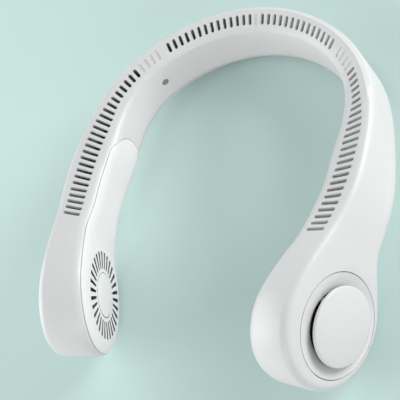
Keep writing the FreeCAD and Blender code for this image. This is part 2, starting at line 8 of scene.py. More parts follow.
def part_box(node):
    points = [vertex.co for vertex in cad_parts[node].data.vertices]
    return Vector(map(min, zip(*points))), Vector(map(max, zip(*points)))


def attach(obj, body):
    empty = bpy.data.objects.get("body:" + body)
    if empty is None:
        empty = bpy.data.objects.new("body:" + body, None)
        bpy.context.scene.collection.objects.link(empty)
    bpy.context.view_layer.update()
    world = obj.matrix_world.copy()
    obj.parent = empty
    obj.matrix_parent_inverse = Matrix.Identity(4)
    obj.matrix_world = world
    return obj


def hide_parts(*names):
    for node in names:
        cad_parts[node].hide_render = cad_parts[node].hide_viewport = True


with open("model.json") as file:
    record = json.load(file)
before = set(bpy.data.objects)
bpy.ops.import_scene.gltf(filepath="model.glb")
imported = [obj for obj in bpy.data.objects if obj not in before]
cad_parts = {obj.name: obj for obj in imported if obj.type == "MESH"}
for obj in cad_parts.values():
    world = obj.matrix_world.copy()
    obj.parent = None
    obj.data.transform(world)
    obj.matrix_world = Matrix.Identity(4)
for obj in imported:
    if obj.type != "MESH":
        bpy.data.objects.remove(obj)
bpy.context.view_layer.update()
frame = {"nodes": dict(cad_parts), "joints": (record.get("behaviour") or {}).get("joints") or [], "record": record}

bl_info = {
    "name": "Neck Fan",
    "version": (1, 0, 0),
    "blender": (4, 5, 0),
    "location": "View3D > Sidebar > Neck Fan",
    "description": "Builds the look of an electric neck fan over its packed solids",
    "category": "Object",
}

MM = 0.001
SIDES = ("left", "right")
FINISH_KEY = "neck_fan_finish_"

# Points, levels and radii closer than NEAR count as one; points of a solid merge within MERGE.
NEAR = 0.01 * MM
MERGE = 0.002 * MM

# Cosines between a face's normal and an axis: below STEEP the face is a wall along the axis,
# above ACROSS it lies across it, and above FLAT it is part of one flat face.
STEEP = 0.3
ACROSS = 0.9
FLAT = 0.999

# Digits kept when normals are sorted by direction, and points in metres by circle.
NORMAL_DIGITS = 2
POINT_DIGITS = 6

# The dome's rim lies outside RIM_SHARE of its radius, and the foot of one post is narrower than
# FOOT_SPAN. The flat middle of the dome is MIDDLE_SHARE of a ring wide before it is closed.
RIM_SHARE = 0.98
FOOT_SPAN = 4 * MM
MIDDLE_SHARE = 0.5

# Rings on the plain disc's face as shares of its radius, and the width of the plug's raised rim.
CAP_RINGS = (0.35, 0.35)
PLUG_RIM_SHARE = 0.45

# Rings of the hollow in the button's face: width in metres, share of the hollow's depth.
DISH_RINGS = ((0.5 * MM, 0.6), (0.8 * MM, 0.4))

# Moulded plastic: width and shade of its faint clouds, the noise levels between which they
# change, the swing of its roughness, and the height and strength of its grain.
CLOUD_WIDTH = 60 * MM
CLOUD_SHADE = 0.97
CLOUD_LEVELS = (0.3, 0.7)
GLOSS_SWING = 0.04
GRAIN_HEIGHT = 0.02 * MM
GRAIN_STRENGTH = 0.04

# Worked metal: length of its streaks in widths, their shade and the swing of its roughness.
STREAK_LENGTH = 12.0
STREAK_SHADE = 0.88
STREAK_SWING = 0.06

# Board: spacing of its tracks and their share of it. Winding: spacing of its turns, and the
# radians that Blender's wave texture runs through in one unit.
TRACK_SPACING = 1.6 * MM
TRACK_SHARE = 0.12
WIRE_SPACING = 0.4 * MM
WAVE_RATE = 20.0

# Floor: width in metres, width and shade of its mottle, and the distances in metres from the fan
# between which it turns to the tone of the sky.
FLOOR_SIZE = 12.0
MOTTLE_WIDTH = 25 * MM
MOTTLE_SHADE = 0.97
FADE_START = 0.35
FADE_END = 0.8

# Strength of the sky as light on the fan, and as the eye sees it.
SKY_STRENGTH = 0.4
SKY_SEEN = 0.88

# Studio lamps: name, place in metres, width in metres, power in watts. All turn to LAMP_AIM.
LAMPS = (
    ("key_light", (0.78, 0.68, 0.36), 0.6, 9.0),
    ("side_light", (-0.85, -0.2, 0.28), 0.9, 7.6),
    ("front_light", (0.2, -1.0, 0.35), 0.6, 3.2),
)
LAMP_AIM = (0.0, 0.0, 0.02)

# Camera fitted to the photograph, in metres, with its lens and sensor in millimetres.
CAMERA_PLACE = (0.3311, -0.1645, 0.55415)
CAMERA_RIGHT = (0.847, 0.20109, -0.4919)
CAMERA_AHEAD = (-0.53, 0.23994, -0.81339)
CAMERA_LENS = 113.7
CAMERA_SENSOR = 36.0
CAMERA_NEAR = 0.01


def linear(hex_value):
    """Linear RGBA of an sRGB hex value."""
    channels = [int(hex_value[i:i + 2], 16) / 255 for i in (0, 2, 4)]
    return [c / 12.92 if c <= 0.04045 else ((c + 0.055) / 1.055) ** 2.4
            for c in channels] + [1.0]


class NeckFanSizes(bpy.types.PropertyGroup):
    """Sizes of the modelled pieces."""

    turns: bpy.props.IntProperty(
        name="Turned Faces", description="Faces round each turned piece", default=128, min=3)
    smooth_angle: bpy.props.FloatProperty(
        name="Smooth Angle", description="Edges flatter than this look rounded",
        default=math.radians(38), subtype="ANGLE")
    round_angle: bpy.props.FloatProperty(
        name="Round Angle", description="Edges sharper than this are rounded",
        default=math.radians(35), subtype="ANGLE")
    round_steps: bpy.props.IntProperty(
        name="Round Steps", description="Faces across each rounded edge", default=3, min=1)
    edge_round: bpy.props.FloatProperty(
        name="Edge Round", description="Rounding on the edges of domes and discs",
        default=0.35 * MM, unit="LENGTH", precision=5)
    ring_seam: bpy.props.FloatProperty(
        name="Ring Seam", description="How far the intake ring's rim is drawn in to show its seam",
        default=0.3 * MM, unit="LENGTH", precision=5)
    lip_reach: bpy.props.FloatProperty(
        name="Lip Reach", description="How far the rolled lip is drawn in over the throat",
        default=0.9 * MM, unit="LENGTH", precision=5)
    lip_lift: bpy.props.FloatProperty(
        name="Lip Lift", description="How far the rolled lip is raised towards the dome",
        default=0.6 * MM, unit="LENGTH", precision=5)
    roll_start: bpy.props.FloatProperty(
        name="Roll Start", description="Radius at which the intake's lip starts to roll in",
        default=20.0 * MM, unit="LENGTH", precision=5)
    roll_depth: bpy.props.FloatProperty(
        name="Roll Depth", description="Depth of the rolled lip below the ring's face",
        default=4.95 * MM, unit="LENGTH", precision=5)
    throat_least: bpy.props.FloatProperty(
        name="Least Throat", description="Radius inside which only spokes and motor post lie",
        default=15.5 * MM, unit="LENGTH", precision=5)
    dome_edge: bpy.props.FloatProperty(
        name="Dome Edge", description="Width of the sloped edge round the domed cap",
        default=0.6 * MM, unit="LENGTH", precision=5)
    dome_edge_rise: bpy.props.FloatProperty(
        name="Dome Edge Rise", description="Height of the sloped edge round the domed cap",
        default=0.3 * MM, unit="LENGTH", precision=5)
    dome_lip: bpy.props.FloatProperty(
        name="Dome Lip", description="Height of the upright rim of the domed cap",
        default=1.6 * MM, unit="LENGTH", precision=5)
    dome_wall: bpy.props.FloatProperty(
        name="Dome Wall", description="Thickness of the domed cap's rim",
        default=1.4 * MM, unit="LENGTH", precision=5)
    dome_hollow: bpy.props.FloatProperty(
        name="Dome Hollow", description="Depth of the hollow under the domed cap",
        default=1.2 * MM, unit="LENGTH", precision=5)
    dome_rings: bpy.props.IntProperty(
        name="Dome Rings", description="Rings of faces between the dome's edge and its crown",
        default=9, min=1)
    post_radius: bpy.props.FloatProperty(
        name="Post Radius", description="Radius of the posts under the domed cap",
        default=1.7 * MM, unit="LENGTH", precision=5)
    post_sink: bpy.props.FloatProperty(
        name="Post Sink", description="How far the posts reach into the dome's roof",
        default=0.1 * MM, unit="LENGTH", precision=5)
    post_turns: bpy.props.IntProperty(
        name="Post Faces", description="Faces round each post", default=32, min=3)
    cap_seam: bpy.props.FloatProperty(
        name="Cap Seam", description="How far the grille disc is drawn in to show its seam",
        default=0.15 * MM, unit="LENGTH", precision=5)
    grille_reach: bpy.props.FloatProperty(
        name="Grille Reach", description="Radius within which the walls of the slots lie",
        default=23.6 * MM, unit="LENGTH", precision=5)
    plug_dish: bpy.props.FloatProperty(
        name="Plug Dish", description="Depth of the hollow in the plug's face",
        default=0.12 * MM, unit="LENGTH", precision=5)
    plug_round: bpy.props.FloatProperty(
        name="Plug Round", description="Rounding on the edges of the plugs",
        default=0.12 * MM, unit="LENGTH", precision=5)
    button_flange: bpy.props.FloatProperty(
        name="Button Flange", description="Height of the button's flange inside the housing",
        default=0.9 * MM, unit="LENGTH", precision=5)
    button_rim: bpy.props.FloatProperty(
        name="Button Rim", description="Width of the flat rim round the button's hollow",
        default=0.7 * MM, unit="LENGTH", precision=5)
    button_dish: bpy.props.FloatProperty(
        name="Button Dish", description="Depth of the hollow in the button's face",
        default=0.25 * MM, unit="LENGTH", precision=5)
    button_round: bpy.props.FloatProperty(
        name="Button Round", description="Rounding on the edges of the button",
        default=0.25 * MM, unit="LENGTH", precision=5)


class NeckFanColours(bpy.types.PropertyGroup):
    """Colours of the finishes, the floor and the sky."""

    housing: bpy.props.FloatVectorProperty(
        name="Housing", description="Moulded housing, domes and base",
        default=linear("E8E8E7"), size=4, min=0, max=1, subtype="COLOR")
    # Painted light: the covers and their discs are given a whiter tone than the housing, standing in for the
    # brighter light that falls on the neck side.
    cover: bpy.props.FloatVectorProperty(
        name="Covers", description="Neck-side covers and their discs",
        default=linear("FAFAF9"), size=4, min=0, max=1, subtype="COLOR")
    ring: bpy.props.FloatVectorProperty(
        name="Intake Rings", description="Rolled intake rings",
        default=linear("EBEBEA"), size=4, min=0, max=1, subtype="COLOR")
    # Painted shade: a mid grey on the walls of the grille slots and disc seams stands in for the shade that falls
    # in them.
    slots: bpy.props.FloatVectorProperty(
        name="Painted Slot Shade", description="Shaded walls of the grille slots and disc seams",
        default=linear("77797B"), size=4, min=0, max=1, subtype="COLOR")
    # Painted shade: a dark grey on the duct floor, the spokes and the motor posts stands in for the shade inside
    # the duct and under the domes.
    inner: bpy.props.FloatVectorProperty(
        name="Inside", description="Duct floor, spokes and motor posts",
        default=linear("3E3F41"), size=4, min=0, max=1, subtype="COLOR")
    fan: bpy.props.FloatVectorProperty(
        name="Impellers", description="Impellers behind the intake",
        default=linear("3A3B3D"), size=4, min=0, max=1, subtype="COLOR")
    plug: bpy.props.FloatVectorProperty(
        name="Plugs", description="Soft plugs over the screws",
        default=linear("8E9194"), size=4, min=0, max=1, subtype="COLOR")
    button: bpy.props.FloatVectorProperty(
        name="Button", description="Power button",
        default=linear("B4B6B8"), size=4, min=0, max=1, subtype="COLOR")
    lens: bpy.props.FloatVectorProperty(
        name="Lens", description="Milky lens of the indicator",
        default=linear("E6E8EA"), size=4, min=0, max=1, subtype="COLOR")
    shaft: bpy.props.FloatVectorProperty(
        name="Shafts", description="Ground steel shafts",
        default=linear("B9BBBF"), size=4, min=0, max=1, subtype="COLOR")
    can: bpy.props.FloatVectorProperty(
        name="Rotor Cans", description="Drawn steel cans of the rotors",
        default=linear("9DA0A5"), size=4, min=0, max=1, subtype="COLOR")
    bush: bpy.props.FloatVectorProperty(
        name="Bushes", description="Sintered bronze bushes",
        default=linear("B08A4E"), size=4, min=0, max=1, subtype="COLOR")
    wire: bpy.props.FloatVectorProperty(
        name="Winding", description="Enamelled copper wire",
        default=linear("B56A35"), size=4, min=0, max=1, subtype="COLOR")
    wire_gap: bpy.props.FloatVectorProperty(
        name="Winding Gaps", description="Shade between the turns of wire",
        default=linear("6A3414"), size=4, min=0, max=1, subtype="COLOR")
    cell: bpy.props.FloatVectorProperty(
        name="Cells", description="Foil pouches of the cells",
        default=linear("B4B6BA"), size=4, min=0, max=1, subtype="COLOR")
    mask: bpy.props.FloatVectorProperty(
        name="Board", description="Solder mask of the circuit board",
        default=linear("114A28"), size=4, min=0, max=1, subtype="COLOR")
    track: bpy.props.FloatVectorProperty(
        name="Board Tracks", description="Solder mask over the board's tracks",
        default=linear("1E6B3C"), size=4, min=0, max=1, subtype="COLOR")
    contact: bpy.props.FloatVectorProperty(
        name="Socket", description="Nickel-plated charging socket",
        default=linear("C4C6C9"), size=4, min=0, max=1, subtype="COLOR")
    switch: bpy.props.FloatVectorProperty(
        name="Switch", description="Small switch under the button",
        default=linear("1B1B1D"), size=4, min=0, max=1, subtype="COLOR")
    lead: bpy.props.FloatVectorProperty(
        name="Lead", description="Ribbon lead between the cells",
        default=linear("1D1D1F"), size=4, min=0, max=1, subtype="COLOR")
    floor: bpy.props.FloatVectorProperty(
        name="Floor", description="Studio floor, and the sky as the eye sees it",
        default=linear("D2ECE7"), size=4, min=0, max=1, subtype="COLOR")
    bounce: bpy.props.FloatVectorProperty(
        name="Bounce", description="Light thrown back by the floor",
        default=linear("CFD0D0"), size=4, min=0, max=1, subtype="COLOR")
    sky: bpy.props.FloatVectorProperty(
        name="Sky", description="Light that the sky gives",
        default=linear("EEF2F4"), size=4, min=0, max=1, subtype="COLOR")


def sizes():
    """The sizes set in the panel."""
    return bpy.context.scene.neck_fan_sizes


def colours():
    """The colours set in the panel."""
    return bpy.context.scene.neck_fan_colours


def darker(colour, share):
    """A linear colour taken down to a share of its light."""
    return [c * share for c in colour[:3]] + [1.0]


def add_node(tree, kind, links=(), values=(), stops=(), **settings):
    """A shader node with its settings, constant inputs, colour stops and incoming links."""
    node = tree.nodes.new(kind)
    for name, value in settings.items():
        setattr(node, name, value)
    for socket, value in dict(values).items():
        node.inputs[socket].default_value = value
    for index, (position, colour) in enumerate(stops):
        node.color_ramp.elements[index].position = position
        node.color_ramp.elements[index].color = colour
    for source, socket in links:
        tree.links.new(source, node.inputs[socket])
    return node


def blank_material(name):
    """A new material with an empty node tree."""
    material = bpy.data.materials.new(name)
    material.use_nodes = True
    material.node_tree.nodes.clear()
    return material


def close_material(material, shader):
    """Joins a shader to the material's output."""
    add_node(material.node_tree, "ShaderNodeOutputMaterial", [(shader.outputs[0], "Surface")])
    return material


def moulded_plastic(name, colour, roughness, grain, ior=1.53):
    """Injection-moulded plastic: one even colour, a fine spark-eroded grain and a soft sheen.

    The real grain is about 0.1 mm, too fine for the picture, so it is drawn as coarse as given."""
    material = blank_material(name)
    tree = material.node_tree
    place = add_node(tree, "ShaderNodeTexCoord")
    grit = add_node(tree, "ShaderNodeTexNoise", [(place.outputs["Object"], "Vector")],
                    {"Scale": 1.0 / grain, "Detail": 3.0, "Roughness": 0.6})
    cloud = add_node(tree, "ShaderNodeTexNoise", [(place.outputs["Object"], "Vector")],
                     {"Scale": 1.0 / CLOUD_WIDTH, "Detail": 1.0})
    tone = add_node(tree, "ShaderNodeValToRGB", [(cloud.outputs["Fac"], "Fac")],
                    stops=zip(CLOUD_LEVELS, (darker(colour, CLOUD_SHADE), colour)))
    gloss = add_node(tree, "ShaderNodeMapRange", [(grit.outputs["Fac"], "Value")],
                     {"To Min": roughness - GLOSS_SWING, "To Max": roughness + GLOSS_SWING})
    relief = add_node(tree, "ShaderNodeBump", [(grit.outputs["Fac"], "Height")],
                      {"Strength": GRAIN_STRENGTH, "Distance": GRAIN_HEIGHT})
    shader = add_node(tree, "ShaderNodeBsdfPrincipled",
                      [(tone.outputs["Color"], "Base Color"),
                       (gloss.outputs["Result"], "Roughness"),
                       (relief.outputs["Normal"], "Normal")], {"IOR": ior})
    return close_material(material, shader)


def worked_metal(name, colour, roughness, streak):
    """Drawn or ground metal: fine streaks of the given width that stretch the highlights."""
    material = blank_material(name)
    tree = material.node_tree
    place = add_node(tree, "ShaderNodeTexCoord")
    stretch = add_node(tree, "ShaderNodeMapping", [(place.outputs["Object"], "Vector")],
                       {"Scale": (1.0, STREAK_LENGTH, STREAK_LENGTH)})
    lines = add_node(tree, "ShaderNodeTexNoise", [(stretch.outputs["Vector"], "Vector")],
                     {"Scale": 1.0 / (STREAK_LENGTH * streak), "Detail": 2.0})
    tone = add_node(tree, "ShaderNodeValToRGB", [(lines.outputs["Fac"], "Fac")],
                    stops=((0.0, darker(colour, STREAK_SHADE)), (1.0, colour)))
    gloss = add_node(tree, "ShaderNodeMapRange", [(lines.outputs["Fac"], "Value")],
                     {"To Min": roughness - STREAK_SWING, "To Max": roughness + STREAK_SWING})
    shader = add_node(tree, "ShaderNodeBsdfPrincipled",
                      [(tone.outputs["Color"], "Base Color"),
                       (gloss.outputs["Result"], "Roughness")], {"Metallic": 1.0})
    return close_material(material, shader)


def board_laminate(name, mask, track):
    """Glass-epoxy board under solder mask, with the faint lines of tracks below it."""
    material = blank_material(name)
    tree = material.node_tree
    place = add_node(tree, "ShaderNodeTexCoord")
    tracks = add_node(tree, "ShaderNodeTexVoronoi", [(place.outputs["Object"], "Vector")],
                      {"Scale": 1.0 / TRACK_SPACING},
                      distance="MANHATTAN", feature="DISTANCE_TO_EDGE")
    tone = add_node(tree, "ShaderNodeValToRGB", [(tracks.outputs["Distance"], "Fac")],
                    stops=((0.0, track), (TRACK_SHARE, mask)))
    shader = add_node(tree, "ShaderNodeBsdfPrincipled", [(tone.outputs["Color"], "Base Color")],
                      {"Roughness": 0.35, "IOR": 1.55})
    return close_material(material, shader)


def wound_copper(name, wire, gap_shade):
    """Enamelled copper wire wound on a core: a warm sheen in rows of turns, with painted shade in the darker bands
    between them.
    """
    material = blank_material(name)
    tree = material.node_tree
    place = add_node(tree, "ShaderNodeTexCoord")
    rows = add_node(tree, "ShaderNodeTexWave", [(place.outputs["Object"], "Vector")],
                    {"Scale": 2 * math.pi / (WAVE_RATE * WIRE_SPACING), "Distortion": 0.5},
                    bands_direction="X")
    tone = add_node(tree, "ShaderNodeValToRGB", [(rows.outputs["Fac"], "Fac")],
                    stops=((0.0, gap_shade), (1.0, wire)))
    shader = add_node(tree, "ShaderNodeBsdfPrincipled", [(tone.outputs["Color"], "Base Color")],
                      {"Roughness": 0.3, "Metallic": 0.8})
    return close_material(material, shader)


def seen_ray(tree):
    """A socket that is 1 for what the eye sees, also in a reflection, and 0 for thrown light."""
    ray = add_node(tree, "ShaderNodeLightPath")
    mirrored = add_node(tree, "ShaderNodeMath", [(ray.outputs["Is Glossy Ray"], 0),
                                                 (ray.outputs["Is Transmission Ray"], 1)],
                        operation="MAXIMUM")
    seen = add_node(tree, "ShaderNodeMath", [(ray.outputs["Is Camera Ray"], 0),
                                             (mirrored.outputs[0], 1)], operation="MAXIMUM")
    return seen.outputs[0]


def studio_paper(name, colour, bounce):
    """Matte paper with a faint mottle: tinted to the eye, neutral in the light it throws back.

    Away from the fan it takes the even tone of the sky, so that no horizon shows."""
    material = blank_material(name)
    tree = material.node_tree
    place = add_node(tree, "ShaderNodeTexCoord")
    mottle = add_node(tree, "ShaderNodeTexNoise", [(place.outputs["Object"], "Vector")],
                      {"Scale": 1.0 / MOTTLE_WIDTH, "Detail": 4.0})
    tone = add_node(tree, "ShaderNodeValToRGB", [(mottle.outputs["Fac"], "Fac")],
                    stops=((0.0, darker(colour, MOTTLE_SHADE)), (1.0, colour)))
    seen = seen_ray(tree)
    mix = add_node(tree, "ShaderNodeMixRGB",
                   [(seen, "Fac"), (tone.outputs["Color"], "Color2")], {"Color1": bounce})
    paper = add_node(tree, "ShaderNodeBsdfPrincipled", [(mix.outputs["Color"], "Base Color")],
                     {"Roughness": 0.8})
    reach = add_node(tree, "ShaderNodeVectorMath", [(place.outputs["Object"], 0)],
                     operation="LENGTH")
    far = add_node(tree, "ShaderNodeMapRange", [(reach.outputs["Value"], "Value")],
                   {"From Min": FADE_START, "From Max": FADE_END},
                   interpolation_type="SMOOTHSTEP")
    share = add_node(tree, "ShaderNodeMath", [(far.outputs["Result"], 0), (seen, 1)],
                     operation="MULTIPLY")
    glow = add_node(tree, "ShaderNodeEmission", (), {"Color": colour, "Strength": SKY_SEEN})
    shader = add_node(tree, "ShaderNodeMixShader", [(share.outputs[0], 0), (paper.outputs[0], 1),
                                                    (glow.outputs[0], 2)])
    return close_material(material, shader)


def all_materials():
    """Every finish on the fan, made once and shared by slot."""
    hue = colours()
    return {
        # Satin mouldings: soft, broad highlights on a clean white.
        "shell": moulded_plastic("Satin ABS housing", hue.housing, 0.36, grain=0.6 * MM),
        # Painted light: the cover's whiter tone stands in for the brighter light on the neck side.
        "cover": moulded_plastic("Satin ABS cover", hue.cover, 0.34, grain=0.6 * MM),
        "dome": moulded_plastic("Satin ABS dome", hue.housing, 0.30, grain=0.6 * MM),
        "button": moulded_plastic("Grey ABS button", hue.button, 0.35, grain=0.5 * MM),
        "lens": moulded_plastic("Milky polycarbonate lens", hue.lens, 0.2, grain=0.5 * MM,
                                ior=1.58),
        # Matte mouldings: highlights spread so far that only their form shows.
        "ring": moulded_plastic("Matte ABS ring", hue.ring, 0.45, grain=0.6 * MM),
        "base": moulded_plastic("Matte ABS base", hue.housing, 0.48, grain=0.6 * MM),
        # Painted shade: the grey of the slot walls and disc seams stands in for the shade in them.
        "slots": moulded_plastic("Shaded ABS slot walls", hue.slots, 0.5, grain=0.6 * MM),
        "plug": moulded_plastic("Grey silicone plug", hue.plug, 0.6, grain=0.4 * MM, ior=1.41),
        # Dark pieces behind the openings: the depth seen through slots and intakes. The duct floor's dark grey is
        # painted shade, also put on the spokes and motor posts.
        "inner": moulded_plastic("Dark ABS duct floor", hue.inner, 0.6, grain=0.8 * MM),
        "fan": moulded_plastic("Dark nylon impeller", hue.fan, 0.5, grain=0.8 * MM),
        "switch": moulded_plastic("Black nylon switch", hue.switch, 0.5, grain=0.5 * MM),
        "lead": moulded_plastic("Black PVC ribbon lead", hue.lead, 0.45, grain=0.8 * MM),
        # Metals of the motors, the cells and the socket: streaked reflections.
        "steel": worked_metal("Ground steel shaft", hue.shaft, 0.25, streak=0.2 * MM),
        "can": worked_metal("Drawn steel can", hue.can, 0.32, streak=0.3 * MM),
        "bush": worked_metal("Sintered bronze bush", hue.bush, 0.45, streak=0.3 * MM),
        "cell": worked_metal("Foil pouch cell", hue.cell, 0.4, streak=1.5 * MM),
        "contact": worked_metal("Nickel-plated socket", hue.contact, 0.28, streak=0.3 * MM),
        "winding": wound_copper("Enamelled copper winding", hue.wire, hue.wire_gap),
        "board": board_laminate("Green circuit board", hue.mask, hue.track),
    }


def slot_of(node):
    """The material slot that the record gives a solid."""
    for row in frame["record"]["subparts"]:
        if row["node"] == node:
            return row["material_slot"]
    raise ValueError("no material slot for " + node)


def body_of(node):
    """The body that a solid moves with."""
    for body, nodes in frame["record"]["behaviour"]["bodies"].items():
        if node in nodes:
            return body
    raise ValueError("no body for " + node)


def finish_of(slot):
    """The finish made for a slot."""
    return bpy.context.scene[FINISH_KEY + slot]


def pick_only(*objects):
    """Object mode with just these objects selected, the first of them active."""
    if bpy.context.object and bpy.context.object.mode != "OBJECT":
        bpy.ops.object.mode_set(mode="OBJECT")
    bpy.ops.object.select_all(action="DESELECT")
    for item in objects:
        item.select_set(True)
    bpy.context.view_layer.objects.active = objects[0] if objects else None


def settle(piece, node, name):
    """Hands a finished piece its finish, its body and the solid that it stands for."""
    piece.name = name
    piece.data.name = name
    piece.data.materials.clear()
    piece.data.materials.append(finish_of(slot_of(node)))
    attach(piece, body_of(node))
    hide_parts(node)


def smooth(piece):
    """Shades a piece smooth across all but its sharp edges."""
    pick_only(piece)
    bpy.ops.object.shade_smooth_by_angle(angle=sizes().smooth_angle)


def copy_of_solid(node, name):
    """A copy of a solid's mesh with its facets merged."""
    source = frame["nodes"][node]
    piece = bpy.data.objects.new(name, source.data.copy())
    bpy.context.scene.collection.objects.link(piece)
    pick_only(piece)
    bpy.ops.object.mode_set(mode="EDIT")
    bpy.ops.mesh.select_all(action="SELECT")
    bpy.ops.mesh.remove_doubles(threshold=MERGE)
    bpy.ops.mesh.customdata_custom_splitnormals_clear()
    bpy.ops.object.mode_set(mode="OBJECT")
    return piece


def moulding_from_solid(node, name):
    """A moulding that takes the solid's shape, with its rounds smoothed."""
    piece = copy_of_solid(node, name)
    smooth(piece)
    settle(piece, node, name)
    return piece


def fan_axis(side):
    """A point on the fan's axis and the direction out of the paddle."""
    for joint in frame["joints"]:
        if joint["name"] == "fan_" + side + "_spin":
            return Vector(joint["pos_m"]), Vector(joint["axis"]).normalized()
    raise ValueError("no axis for the " + side + " fan")


def turned_frame(point, axis):
    """Matrix whose Z is the axis, for pieces modelled upright at the origin."""
    return Matrix.Translation(point) @ axis.to_track_quat("Z", "Y").to_matrix().to_4x4()


def level_and_reach(place, point, axis):
    """How far a place lies along an axis from a point on it, and how far from the axis."""
    offset = place - point
    level = offset.dot(axis)
    return level, (offset - axis * level).length


def spots(node, point, axis):
    """Level and reach about an axis of each point of a solid."""
    return [level_and_reach(v.co, point, axis) for v in frame["nodes"][node].data.vertices]


def extent(node, point, axis):
    """Lowest and highest level of a solid along an axis, and its largest radius about it."""
    levels, reaches = zip(*spots(node, point, axis))
    return min(levels), max(levels), max(reaches)


def middle(node):
    """Mean place of a solid's points."""
    vertices = frame["nodes"][node].data.vertices
    return sum((v.co for v in vertices), Vector()) / len(vertices)


def disc_axis(node, outward):
    """Centre and axis of a flat round solid, the axis on the given side."""
    faces = frame["nodes"][node].data.polygons
    areas = {}
    for face in faces:
        key = tuple(round(c, NORMAL_DIGITS) for c in face.normal)
        areas[key] = areas.get(key, 0.0) + face.area
    rough = Vector(max(areas, key=areas.get)).normalized()
    flat = (f.normal * f.area for f in faces if f.normal.dot(rough) > FLAT)
    axis = sum(flat, Vector()).normalized()
    return middle(node), axis if axis.dot(outward) > 0 else -axis


def place_piece(piece, matrix):
    """Moves a piece modelled at the origin to its place and leaves the place in its mesh."""
    piece.matrix_world = matrix
    pick_only(piece)
    bpy.ops.object.transform_apply(location=True, rotation=True, scale=True)


def shade_faces(piece, slot, line, test):
    """Paints shade: gives a second, darker finish to the faces whose reach from a line and slope along it pass a
    test.
    """
    point, axis = line
    piece.data.materials.append(finish_of(slot))
    for face in piece.data.polygons:
        reach = level_and_reach(face.center, point, axis)[1]
        if test(reach, abs(face.normal.dot(axis))):
            face.material_index = 1


def add_disc(radius, level):
    """A flat round face at a level, left in edit mode with the face selected."""
    pick_only()
    bpy.ops.mesh.primitive_circle_add(vertices=sizes().turns, radius=radius, fill_type="NGON",
                                      location=(0, 0, 0))
    bpy.ops.object.mode_set(mode="EDIT")
    bpy.ops.mesh.select_all(action="SELECT")
    bpy.ops.transform.translate(value=(0, 0, level))
    return bpy.context.object


def rise(height):
    """Extrudes the selected face along the axis."""
    bpy.ops.mesh.extrude_region_move(TRANSFORM_OT_translate={"value": (0, 0, height)})


def step_in(width, height=0.0):
    """Insets the selected face by a width and moves it out by a height."""
    bpy.ops.mesh.inset(thickness=width, depth=height, use_even_offset=True)


def pick_level(piece, level, facing):
    """Selects the faces that lie at a level and face up (1) or down (-1)."""
    bpy.ops.mesh.select_all(action="DESELECT")
    bpy.ops.object.mode_set(mode="OBJECT")
    for face in piece.data.polygons:
        face.select = abs(face.center.z - level) < NEAR and face.normal.z * facing > ACROSS
    bpy.ops.object.mode_set(mode="EDIT")


def close_edit():
    """Turns all faces outwards and leaves edit mode."""
    bpy.ops.mesh.select_all(action="SELECT")
    bpy.ops.mesh.normals_make_consistent(inside=False)
    bpy.ops.object.mode_set(mode="OBJECT")


def round_edges(piece, width):
    """Rounds the sharp edges of a piece."""
    pick_only(piece)
    modifier = piece.modifiers.new("Edge round", "BEVEL")
    modifier.width = width
    modifier.segments = sizes().round_steps
    modifier.limit_method = "ANGLE"
    modifier.angle_limit = sizes().round_angle
    bpy.ops.object.modifier_apply(modifier=modifier.name)


def close_turned(piece, edge, line, node, name):
    """Closes a turned piece at its middle, rounds its edges and puts it in its place."""
    bpy.ops.mesh.poke()
    close_edit()
    round_edges(piece, edge)
    smooth(piece)
    place_piece(piece, turned_frame(*line))
    settle(piece, node, name)


class NECKFAN_OT_finishes(bpy.types.Operator):
    """Makes the finishes and puts them on the solids"""
    bl_idname = "neckfan.finishes"
    bl_label = "Finishes"

    def execute(self, context):
        for slot, material in all_materials().items():
            context.scene[FINISH_KEY + slot] = material
        for name, node in frame["nodes"].items():
            node.data.materials.clear()
            node.data.materials.append(finish_of(slot_of(name)))
        return {"FINISHED"}


class NECKFAN_OT_housing(bpy.types.Operator):
    """Smooths the horseshoe moulding and the cover under its back"""
    bl_idname = "neckfan.housing"
    bl_label = "Housing"

    def execute(self, context):
        moulding_from_solid("main_housing", "horseshoe_housing")
        moulding_from_solid("band_base", "band_base_cover")
        return {"FINISHED"}


class NECKFAN_OT_covers(bpy.types.Operator):
    """Smooths the neck-side covers and paints shade on the walls of their radial slots"""
    bl_idname = "neckfan.covers"
    bl_label = "Neck-side Covers"

    def execute(self, context):
        for side in SIDES:
            cover = moulding_from_solid("inner_cover_" + side, "neck_side_cover_" + side)
            self.paint_slot_wall_shade(cover, side)
        return {"FINISHED"}

    def paint_slot_wall_shade(self, cover, side):
        """Paints shade on the walls of the slots and of the plain disc's seat: a grey finish that stands in for
        the shade that falls in them.
        """
        cap = "grille_cap_" + side
        line = disc_axis(cap, -fan_axis(side)[1])
        disc = extent(cap, *line)[2]
        outer = sizes().grille_reach
        shade_faces(cover, "slots", line,
                    lambda reach, slope: disc < reach < outer and slope < STEEP)


